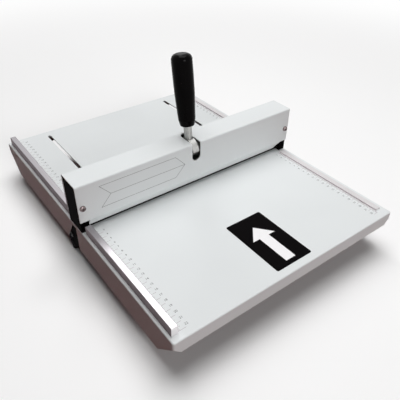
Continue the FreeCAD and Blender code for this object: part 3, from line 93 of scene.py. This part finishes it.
class Surface:
    """A node material with one Principled shader and short calls for the usual nodes."""

    def __init__(self, name, colour, roughness, metallic=0.0, specular=0.5):
        self.material = bpy.data.materials.new(name)
        self.material.use_nodes = True
        self.tree = self.material.node_tree
        self.tree.nodes.clear()
        output = self.tree.nodes.new("ShaderNodeOutputMaterial")
        self.shader = self.tree.nodes.new("ShaderNodeBsdfPrincipled")
        self.tree.links.new(self.shader.outputs["BSDF"], output.inputs["Surface"])
        self.shader.inputs["Base Color"].default_value = (*colour, 1)
        self.shader.inputs["Roughness"].default_value = roughness
        self.shader.inputs["Metallic"].default_value = metallic
        self.shader.inputs["Specular IOR Level"].default_value = specular
        self.place = self.tree.nodes.new("ShaderNodeTexCoord").outputs["Object"]

    def link(self, source, node, socket):
        """Feed a node's input, given by name or index, from another node's output."""
        self.tree.links.new(source, node.inputs[socket])

    def stretched(self, scale):
        """Object coordinates in metres, multiplied per axis."""
        node = self.tree.nodes.new("ShaderNodeMapping")
        node.inputs["Scale"].default_value = scale
        self.link(self.place, node, "Vector")
        return node.outputs["Vector"]

    def noise(self, per_metre, detail=3.0, roughness=0.55, stretch=None):
        """Cloudy noise from 0 to 1, with so many cells per metre."""
        node = self.tree.nodes.new("ShaderNodeTexNoise")
        node.inputs["Scale"].default_value = per_metre
        node.inputs["Detail"].default_value = detail
        node.inputs["Roughness"].default_value = roughness
        self.link(self.stretched(stretch) if stretch else self.place, node, "Vector")
        return node.outputs["Fac"]

    def spread(self, value, low, high, out_low, out_high):
        """Map low..high to out_low..out_high, held at the ends."""
        node = self.tree.nodes.new("ShaderNodeMapRange")
        node.clamp = True
        for name, number in (("From Min", low), ("From Max", high),
                             ("To Min", out_low), ("To Max", out_high)):
            node.inputs[name].default_value = number
        self.link(value, node, "Value")
        return node.outputs["Result"]

    def blend(self, factor, first, second):
        """Mix two colours by a factor; each may be a triple or a socket."""
        node = self.tree.nodes.new("ShaderNodeMix")
        node.data_type = "RGBA"
        self.link(factor, node, 0)
        for index, colour in zip(MIX_COLOURS, (first, second)):
            if isinstance(colour, tuple):
                node.inputs[index].default_value = (*colour, 1)
            else:
                self.link(colour, node, index)
        return node.outputs[MIX_RESULT]

    def combine(self, kind, first, second):
        """One math node in this material."""
        return math_node(self.tree, kind, first, second)

    def normal(self, axis):
        """One component of the surface's own normal in the object's frame."""
        coordinates = self.tree.nodes.new("ShaderNodeTexCoord").outputs["Normal"]
        node = self.tree.nodes.new("ShaderNodeSeparateXYZ")
        self.link(coordinates, node, "Vector")
        return node.outputs[axis]

    def turned_to(self, axis):
        """1 on the faces that look along an axis, either way, 0 on the others."""
        return self.spread(self.combine("ABSOLUTE", self.normal(axis), 0), 0.5, 0.85, 0, 1)

    def colour(self, socket):
        """Feed the shader's colour."""
        self.link(socket, self.shader, "Base Color")

    def rough(self, socket):
        """Feed the shader's roughness."""
        self.link(socket, self.shader, "Roughness")

    def bump(self, height, depth):
        """Raise the surface by height (0..1) times depth in metres."""
        node = self.tree.nodes.new("ShaderNodeBump")
        node.inputs["Strength"].default_value = 1.0
        node.inputs["Distance"].default_value = depth
        self.link(height, node, "Height")
        self.link(node.outputs["Normal"], self.shader, "Normal")


def shade(colour, factor):
    """A colour made darker, or lighter with a factor above 1."""
    return tuple(channel * factor for channel in colour)


# ---------------------------------------------------------------- materials
MARKS_PER_METRE = 900       # tool marks on metal
MARK_DEPTH = 0.004 * MM


def powder_coat(name, colour, roughness, grain, depth, specular):
    """Sprayed and baked paint: orange-peel skin, faint clouds of tone, a few scuffs."""
    paint = Surface(name, colour, roughness, specular=specular)
    clouds = paint.noise(9, detail=2)
    skin = paint.noise(grain, detail=2, roughness=0.5)
    scuffs = paint.noise(60, detail=6, roughness=0.75, stretch=(1, 6, 1))
    toned = paint.blend(paint.spread(clouds, 0.3, 0.7, 0, 1), shade(colour, 0.975), colour)
    worn = paint.spread(scuffs, 0.70, 0.80, 0, 0.35)
    paint.colour(paint.blend(worn, toned, shade(colour, 0.86)))
    paint.rough(paint.combine("ADD", paint.spread(clouds, 0.3, 0.7, roughness - 0.03, roughness),
                              paint.spread(skin, 0.3, 0.7, 0, 0.07)))
    paint.bump(skin, depth)
    return paint.material


def milled_metal(name, colour, roughness, stretch, contrast=0.82):
    """Metal with fine tool marks, which are long along an axis whose stretch is small."""
    metal = Surface(name, colour, roughness, metallic=1.0)
    marks = metal.noise(MARKS_PER_METRE, detail=4, roughness=0.7, stretch=stretch)
    stains = metal.noise(35, detail=3)
    streaked = metal.blend(metal.spread(marks, 0.3, 0.7, 0, 1), shade(colour, contrast), colour)
    metal.colour(metal.blend(metal.spread(stains, 0.55, 0.75, 0, 0.25), streaked,
                             shade(colour, 0.7)))
    metal.rough(metal.spread(marks, 0.3, 0.7, roughness - 0.06, roughness + 0.08))
    metal.bump(marks, MARK_DEPTH)
    return metal.material


RAIL_GLOSS = 0.29           # roughness of the rails' machined top


def guide_rail_metal():
    """Aluminium bar with a machined top; painted shade darkens its long sides to brown-grey, and painted light
    makes its ends paler than the top.
    """
    top = (0.42, 0.40, 0.42)
    # painted shade: the long sides' tone, far darker than the machined top
    side = (0.10, 0.08, 0.085)
    # painted light: the ends' tone, paler than the top
    painted_light_ends = (0.72, 0.70, 0.71)
    metal = Surface("rail_aluminium", top, RAIL_GLOSS, metallic=1.0)
    marks = metal.noise(MARKS_PER_METRE, detail=4, roughness=0.7, stretch=(1, 0.02, 1))
    handling = metal.noise(45, detail=4)
    flank, end = metal.turned_to("X"), metal.turned_to("Y")
    bright = metal.blend(metal.spread(marks, 0.3, 0.7, 0, 1), shade(top, 0.9), top)
    painted_shade_sides = metal.blend(metal.spread(handling, 0.35, 0.7, 0, 1), side, shade(side, 1.5))
    # painted shade on the long sides and painted light on the ends, chosen by the way each face looks
    metal.colour(metal.blend(end, metal.blend(flank, bright, painted_shade_sides), painted_light_ends))
    worked = metal.combine("ADD", flank, end)
    metal.rough(metal.combine("ADD", RAIL_GLOSS, metal.combine("MULTIPLY", worked, 0.3)))
    metal.bump(marks, MARK_DEPTH)
    return metal.material


def moulded_plastic(name, colour, roughness, grain, depth, specular, worn=1.06, side=None):
    """Plastic with a fine even texture, paler by worn where it is handled.

    Where side gives a colour, the faces that look along X take it in place of their own: painted light on those
    faces.
    """
    plastic = Surface(name, colour, roughness, specular=specular)
    skin = plastic.noise(grain, detail=2)
    handled = plastic.noise(40, detail=3)
    tone = plastic.blend(plastic.spread(handled, 0.35, 0.7, 0, 1), colour, shade(colour, worn))
    if side:
        # painted light: the faces that look along X take the side colour
        tone = plastic.blend(plastic.turned_to("X"), tone, side)
    plastic.colour(tone)
    plastic.rough(plastic.spread(handled, 0.35, 0.7, roughness - 0.06, roughness + 0.06))
    plastic.bump(skin, depth)
    return plastic.material


def ink(name, colour, wear=0.25):
    """Screen-printed ink, paler by wear where its film is thin."""
    layer = Surface(name, colour, 0.5)
    film = layer.noise(1500, detail=3)
    thin = tuple(1 - (1 - channel) * (1 - wear) for channel in colour)
    layer.colour(layer.blend(layer.spread(film, 0.45, 0.75, 0, 1), colour, thin))
    layer.bump(film, 0.003 * MM)
    return layer.material


def label_film():
    """Black printed film with a soft gloss and faint dust."""
    black = (0.0028, 0.0022, 0.0026)
    film = Surface("label_film", black, 0.4, specular=0.012)
    dust = film.noise(420, detail=5, roughness=0.7)
    ripple = film.noise(30, detail=1)
    film.colour(film.blend(film.spread(dust, 0.6, 0.8, 0, 0.5), black, shade(black, 4)))
    film.rough(film.spread(ripple, 0.3, 0.7, 0.3, 0.42))
    film.bump(ripple, 0.02 * MM)
    return film.material


WHITE = (0.76, 0.785, 0.79)
MATERIALS = {
    "white_paint": powder_coat("white_paint", WHITE, 0.42, 1300, 0.010 * MM, specular=0.015),
    "black_paint": powder_coat("black_paint", (0.0022, 0.0017, 0.0019), 0.6, 1900, 0.02 * MM,
                               specular=0.005),
    "zinc_steel": milled_metal("zinc_steel", (0.55, 0.55, 0.52), 0.35, (1, 1, 1)),
    "black_screw": milled_metal("black_screw", (0.012, 0.011, 0.011), 0.42, (1, 1, 1)),
    "cover_screw_steel": milled_metal("cover_screw_steel", (0.25, 0.2, 0.2), 0.24, (1, 1, 1)),
    "ground_steel": milled_metal("ground_steel", (0.36, 0.36, 0.36), 0.34, (0.03, 1, 1)),
    "satin_steel": milled_metal("satin_steel", (0.44, 0.44, 0.43), 0.52, (1, 1, 0.04),
                                contrast=0.75),
    "spring_steel": milled_metal("spring_steel", (0.4, 0.4, 0.4), 0.3, (1, 1, 1)),
    "bronze": milled_metal("bronze", (0.62, 0.42, 0.2), 0.4, (0.1, 1, 1)),
    "rail_aluminium": guide_rail_metal(),
    "ram_aluminium": milled_metal("ram_aluminium", (0.6, 0.6, 0.61), 0.38, (0.03, 1, 1)),
    # the strip's faces that look along X get painted light, a paler and pinker tone than its top
    "strip_plastic": moulded_plastic("strip_plastic", (0.67, 0.655, 0.66), 0.45, 900, 0.01 * MM,
                                     specular=0.2, side=(0.88, 0.80, 0.82)),
    "label_film": label_film(),
    "grip_plastic": moulded_plastic("grip_plastic", (0.0012, 0.0008, 0.0009), 0.15, 2600,
                                    0.012 * MM, specular=0.042, worn=1.6),
    "foot_rubber": moulded_plastic("foot_rubber", (0.006, 0.0055, 0.0055), 0.75, 700,
                                   0.03 * MM, specular=0.12, worn=1.6),
}
NODE_FINISH = {             # where a node's finish differs from the rest of its slot
    # painted shade: the die bar is made near black so that the gap under the cover's lip looks dark
    "die_bar": milled_metal("die_near_black_painted_shade", (0.035, 0.035, 0.036), 0.42, (0.03, 1, 1)),
    "lever_rod": milled_metal("rod_steel", (0.5, 0.5, 0.485), 0.3, (1, 1, 0.04),
                              contrast=0.65),
}
SCALE_INK = ink("scale_ink", (0.12, 0.12, 0.125))
TICK_INK = ink("tick_ink", (0.30, 0.235, 0.26))
OUTLINE_INK = ink("outline_ink", (0.16, 0.165, 0.17))
ARROW_INK = ink("arrow_ink", (0.86, 0.85, 0.86), wear=0.1)


def dress_nodes():
    """Give every node of the model the material of its slot."""
    slots = {entry["node"]: entry["material_slot"] for entry in frame["record"]["subparts"]}
    for name, piece in frame["nodes"].items():
        finish = NODE_FINISH.get(name, MATERIALS[slots[name]])
        for index in range(max(1, len(piece.material_slots))):
            if not piece.material_slots:
                piece.data.materials.append(finish)
            piece.material_slots[index].material = finish


# ---------------------------------------------------------------- mesh helpers
def add_piece(name, mesh_maker, material, body):
    """A mesh piece made by mesh_maker(bm), riding on a body."""
    mesh = bpy.data.meshes.new(name)
    bm = bmesh.new()
    mesh_maker(bm)
    bmesh.ops.recalc_face_normals(bm, faces=bm.faces)
    bm.to_mesh(mesh)
    bm.free()
    piece = bpy.data.objects.new(name, mesh)
    bpy.context.scene.collection.objects.link(piece)
    mesh.materials.append(material)
    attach(piece, body)
    return piece


def plate(bm, corners, lift):
    """A thin closed plate: a polygon and its copy moved by lift."""
    low = [bm.verts.new(corner) for corner in corners]
    high = [bm.verts.new(corner + lift) for corner in corners]
    bm.faces.new(list(reversed(low)))
    bm.faces.new(high)
    count = len(corners)
    for i in range(count):
        j = (i + 1) % count
        bm.faces.new((low[i], low[j], high[j], high[i]))


def table_rect(bm, x0, x1, y0, y1):
    """A printed rectangle on the tables' top face."""
    spots = [Vector((x, y, TABLE_TOP)) for x, y in ((x0, y0), (x1, y0), (x1, y1), (x0, y1))]
    plate(bm, spots, Vector((0, 0, INK)))


# ---------------------------------------------------------------- rulers
FIRST_TICK = 22             # mm from the crease
FIRST_NUMERAL = 3           # cm from the crease
RAIL_GAP = 1.2 * MM         # from the left rail to the ticks
STRIP_GAP = 0.4 * MM        # from the right strip to the ticks
LINE = 0.35 * MM            # width of a printed tick
NUMERAL_SHIFT = 3.8 * MM    # from a numeral's tick towards the crease
NUMERAL_SIZE = 4.4 * MM
NUMERAL_WEIGHT = 0.05 * MM  # added to the strokes of the built-in face
SCALES = {                  # guide's face, way inwards, and from that face: first ink,
                            # row of numerals, ends of the ticks of 10, 5 and 1 mm
    "left": (WORK_LEFT, 1, RAIL_GAP, 14.7 * MM, {10: 12 * MM, 5: 7 * MM, 1: 4.2 * MM}),
    "right": (WORK_RIGHT, -1, WORK_RIGHT - STRIP_FACE + STRIP_GAP, 13.3 * MM,
              {10: 12 * MM, 5: 8.4 * MM, 1: 7.2 * MM}),
}


def make_ticks(name, edge, inward, start, reach, way, first, last):
    """Tick marks every millimetre along one guide, counted from the crease towards way."""
    def fill(bm):
        for millimetre in range(first, last + 1):
            end = next(reach[step] for step in reach if millimetre % step == 0)
            y = CREASE_Y + way * millimetre * MM
            a = edge + inward * start
            b = edge + inward * end
            table_rect(bm, min(a, b), max(a, b), y - LINE / 2, y + LINE / 2)
    return add_piece(name, fill, TICK_INK, "base")


def make_numerals(name, edge, inward, row, way, first, last):
    """A number beside every tenth tick, cut from the built-in face as thin solid figures."""
    figures = []
    for count in range(first, last + 1):
        curve = bpy.data.curves.new(f"{name}_{count}", "FONT")
        curve.body = str(count)
        curve.size = NUMERAL_SIZE
        curve.align_x = "CENTER"
        curve.align_y = "CENTER"
        curve.resolution_u = 3
        curve.offset = NUMERAL_WEIGHT
        figure = bpy.data.objects.new(curve.name, curve)
        mesh = bpy.data.meshes.new_from_object(figure)
        bpy.data.objects.remove(figure)
        y = CREASE_Y + way * (count * 10 * MM - NUMERAL_SHIFT)
        mesh.transform(Matrix.Translation((edge + inward * row, y, TABLE_TOP + INK)))
        figures.append(mesh)

    def fill(bm):
        for mesh in figures:
            bm.from_mesh(mesh)
    return add_piece(name, fill, SCALE_INK, "base")


def last_tick(length):
    """The last whole centimetre, in mm, that leaves at least one more on the table."""
    return int(length / MM) // 10 * 10 - 10


def make_rulers():
    """A ruler along each side of each table, counted from the crease."""
    tables = (("front", -1, last_tick(CREASE_Y - front_low.y)),
              ("rear", 1, last_tick(rear_high.y - CREASE_Y)))
    for side, (edge, inward, start, row, reach) in SCALES.items():
        for table, way, last in tables:
            make_ticks(f"{table}_{side}_ticks", edge, inward, start, reach, way,
                       FIRST_TICK, last)
            make_numerals(f"{table}_{side}_numerals", edge, inward, row, way,
                          FIRST_NUMERAL, last // 10)


# ---------------------------------------------------------------- arrows
def outline_band(bm, corners, width, lift, closed=True):
    """A line of one width along a run of points in a plane, square to lift."""
    up = lift.normalized()
    runs = len(corners) if closed else len(corners) - 1
    for i in range(runs):
        start = corners[i]
        end = corners[(i + 1) % len(corners)]
        along = (end - start).normalized()
        across = up.cross(along) * width / 2
        cap = along * width / 2
        plate(bm, [start - cap - across, end + cap - across, end + cap + across,
                   start - cap + across], lift)


def make_label_arrow():
    """White arrow on the black label, pointing the way the paper goes in."""
    centre = (label_low.x + label_high.x) / 2
    length = label_high.y - label_low.y
    width = label_high.x - label_low.x
    tip_y = label_low.y + length * 0.79
    neck_y = label_low.y + length * 0.565
    foot_y = label_low.y + length * 0.075
    head = width * 0.32
    shaft = width * 0.133
    outline = [(0, tip_y), (-head, neck_y), (-shaft, neck_y), (-shaft, foot_y), (shaft, foot_y),
               (shaft, neck_y), (head, neck_y)]

    def fill(bm):
        plate(bm, [Vector((centre + x, y, label_high.z)) for x, y in outline],
              Vector((0, 0, INK)))
    return add_piece("label_arrow", fill, ARROW_INK, "base")


COVER_ARROW = {"left": 32.8, "notch": 48, "shoulder": 151, "tip": 167, "top": 63.7,
               "middle": 46.5, "foot": 29.9}      # mm from the cover's left end and the tables
COVER_LINE = 0.55 * MM      # width of the arrow's printed line


def make_cover_arrow():
    """Thin outline of a folded arrow on the front of the cover."""
    def spot(x, z):
        return Vector((cover_low.x + COVER_ARROW[x] * MM, cover_low.y,
                       TABLE_TOP + COVER_ARROW[z] * MM))

    ring = [spot("left", "top"), spot("shoulder", "top"), spot("tip", "middle"),
            spot("shoulder", "foot"), spot("left", "foot"), spot("notch", "middle")]
    fold = [spot("notch", "middle"), spot("tip", "middle")]
    lift = Vector((0, -INK, 0))

    def fill(bm):
        outline_band(bm, ring, COVER_LINE, lift)
        outline_band(bm, fold, COVER_LINE, lift, closed=False)
    return add_piece("cover_arrow_outline", fill, OUTLINE_INK, "base")


# ---------------------------------------------------------------- springs
def make_springs():
    """The return springs, listed as deforming nodes of the ram's slide, as copies that ride on the base."""
    slide = next(joint for joint in frame["joints"] if joint["name"] == "ram_slide")
    for entry in slide["deforming_nodes"]:
        node = entry["node"]
        coil = bpy.data.objects.new(f"{node}_coil", frame["nodes"][node].data.copy())
        bpy.context.scene.collection.objects.link(coil)
        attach(coil, "base")
        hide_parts(node)
        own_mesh(coil)


# ---------------------------------------------------------------- light, floor, camera
def seen_rays(tree):
    """1 for the rays that look at the backdrop: the camera's, and those of metal and glass."""
    rays = tree.nodes.new("ShaderNodeLightPath")
    value = rays.outputs["Is Camera Ray"]
    for kind in ("Is Glossy Ray", "Is Transmission Ray"):
        value = math_node(tree, "MAXIMUM", value, rays.outputs[kind])
    return value


FLOOR_PAINT = (0.97, 0.97, 0.97)
FLOOR_BOUNCE = (0.14, 0.035, 0.03)      # dim and reddish, so that upright faces look brown-grey
FLOOR_REACH = 3.0           # m from the middle to each edge
FLOOR_DROP = 0.5 * MM       # below the feet
FLOOR_NEAR = 0.55           # m from the middle: up to here the floor is plain paint
FLOOR_FAR = 1.5             # from here on it is a white backdrop, the same on all sides
SKY = (1.0, 0.84, 0.82)
SKY_LIGHT = 0.025


def backdrop_share(tree):
    """0 near the machine, 1 far from it, where the floor turns into the white backdrop."""
    reach = tree.nodes.new("ShaderNodeVectorMath")
    reach.operation = "LENGTH"
    tree.links.new(tree.nodes.new("ShaderNodeTexCoord").outputs["Object"], reach.inputs[0])
    ramp = tree.nodes.new("ShaderNodeMapRange")
    ramp.interpolation_type = "SMOOTHSTEP"
    ramp.inputs["From Min"].default_value = FLOOR_NEAR
    ramp.inputs["From Max"].default_value = FLOOR_FAR
    tree.links.new(reach.outputs["Value"], ramp.inputs["Value"])
    return ramp.outputs["Result"]


def make_floor():
    """Pale floor that takes the machine's own shadow; the light it bounces is dim and reddish."""
    mesh = bpy.data.meshes.new("floor")
    corners = [(x * FLOOR_REACH, y * FLOOR_REACH, -FLOOR_DROP)
               for x, y in ((-1, -1), (1, -1), (1, 1), (-1, 1))]
    mesh.from_pydata(corners, [], [(0, 1, 2, 3)])
    floor = bpy.data.objects.new("floor", mesh)
    bpy.context.scene.collection.objects.link(floor)
    material = bpy.data.materials.new("floor")
    material.use_nodes = True
    tree = material.node_tree
    tree.nodes.clear()
    add = tree.nodes.new
    link = tree.links.new
    output = add("ShaderNodeOutputMaterial")
    paint = add("ShaderNodeBsdfDiffuse")
    paint.inputs["Color"].default_value = (*FLOOR_PAINT, 1)
    backdrop = add("ShaderNodeEmission")
    ground = add("ShaderNodeMixShader")
    bounce = add("ShaderNodeBsdfDiffuse")
    bounce.inputs["Color"].default_value = (*FLOOR_BOUNCE, 1)
    choice = add("ShaderNodeMixShader")
    link(backdrop_share(tree), ground.inputs[0])
    link(paint.outputs[0], ground.inputs[1])
    link(backdrop.outputs[0], ground.inputs[2])
    link(seen_rays(tree), choice.inputs[0])
    link(bounce.outputs[0], choice.inputs[1])
    link(ground.outputs[0], choice.inputs[2])
    link(choice.outputs[0], output.inputs["Surface"])
    mesh.materials.append(material)


def make_world():
    """White behind everything; a dim, slightly pink sky for the light itself."""
    world = bpy.data.worlds.new("studio")
    bpy.context.scene.world = world
    world.use_nodes = True
    tree = world.node_tree
    tree.nodes.clear()
    add = tree.nodes.new
    link = tree.links.new
    output = add("ShaderNodeOutputWorld")
    sky = add("ShaderNodeBackground")
    sky.inputs["Color"].default_value = (*SKY, 1)
    sky.inputs["Strength"].default_value = SKY_LIGHT
    white = add("ShaderNodeBackground")
    white.inputs["Color"].default_value = (1, 1, 1, 1)
    white.inputs["Strength"].default_value = 1.0
    choice = add("ShaderNodeMixShader")
    link(seen_rays(tree), choice.inputs[0])
    link(sky.outputs[0], choice.inputs[1])
    link(white.outputs[0], choice.inputs[2])
    link(choice.outputs[0], output.inputs["Surface"])


def softbox(name, place, aim, size, power):
    """A white area lamp of a width and height in metres, turned to aim, in watts."""
    lamp = bpy.data.lights.new(name, "AREA")
    lamp.shape = "RECTANGLE"
    lamp.size, lamp.size_y = size
    lamp.energy = power
    holder = bpy.data.objects.new(name, lamp)
    bpy.context.scene.collection.objects.link(holder)
    holder.location = place
    direction = Vector(aim) - Vector(place)
    holder.rotation_euler = direction.to_track_quat("-Z", "Y").to_euler()


def make_lights():
    """A large lamp overhead, a low one far in front, and a small one behind on the right."""
    machine = (0, 0, 0.05)
    softbox("overhead", place=(0.25, 0.25, 2.3), aim=machine, size=(1.7, 1.7), power=48)
    softbox("front_fill", place=(-0.2, -3.0, 1.05), aim=machine, size=(1.0, 1.3), power=40)
    softbox("rear_window", place=(0.42, 1.05, 1.53), aim=(-0.18, -0.16, 0.08),
            size=(0.35, 0.8), power=3.0)


CAMERA_PLACE = Vector((-344.33, -498.56, 479.24)) * MM
CAMERA_HEADING = -37.39     # degrees from +Y, towards +X is negative
CAMERA_PITCH = -37.45
CAMERA_ROLL = 0.92
CAMERA_FRAME = 36           # mm, the sensor's width
CAMERA_LENS = 41.99         # mm, the focal length


def make_camera():
    """The photograph's camera, as fitted to corners and edges of the machine."""
    camera = bpy.data.cameras.new("camera")
    camera.sensor_width = CAMERA_FRAME
    camera.lens = CAMERA_LENS
    holder = bpy.data.objects.new("camera", camera)
    bpy.context.scene.collection.objects.link(holder)
    turn = Matrix.Rotation(math.radians(CAMERA_HEADING), 3, "Z")
    tilt = Matrix.Rotation(math.radians(90 + CAMERA_PITCH), 3, "X")
    roll = Matrix.Rotation(math.radians(CAMERA_ROLL), 3, "Z")
    holder.matrix_world = Matrix.Translation(CAMERA_PLACE) @ (turn @ tilt @ roll).to_4x4()
    bpy.context.scene.camera = holder


dress_nodes()
make_rulers()
make_label_arrow()
make_cover_arrow()
make_springs()
make_floor()
make_world()
make_lights()
make_camera()
bpy.context.scene.view_settings.view_transform = "Standard"
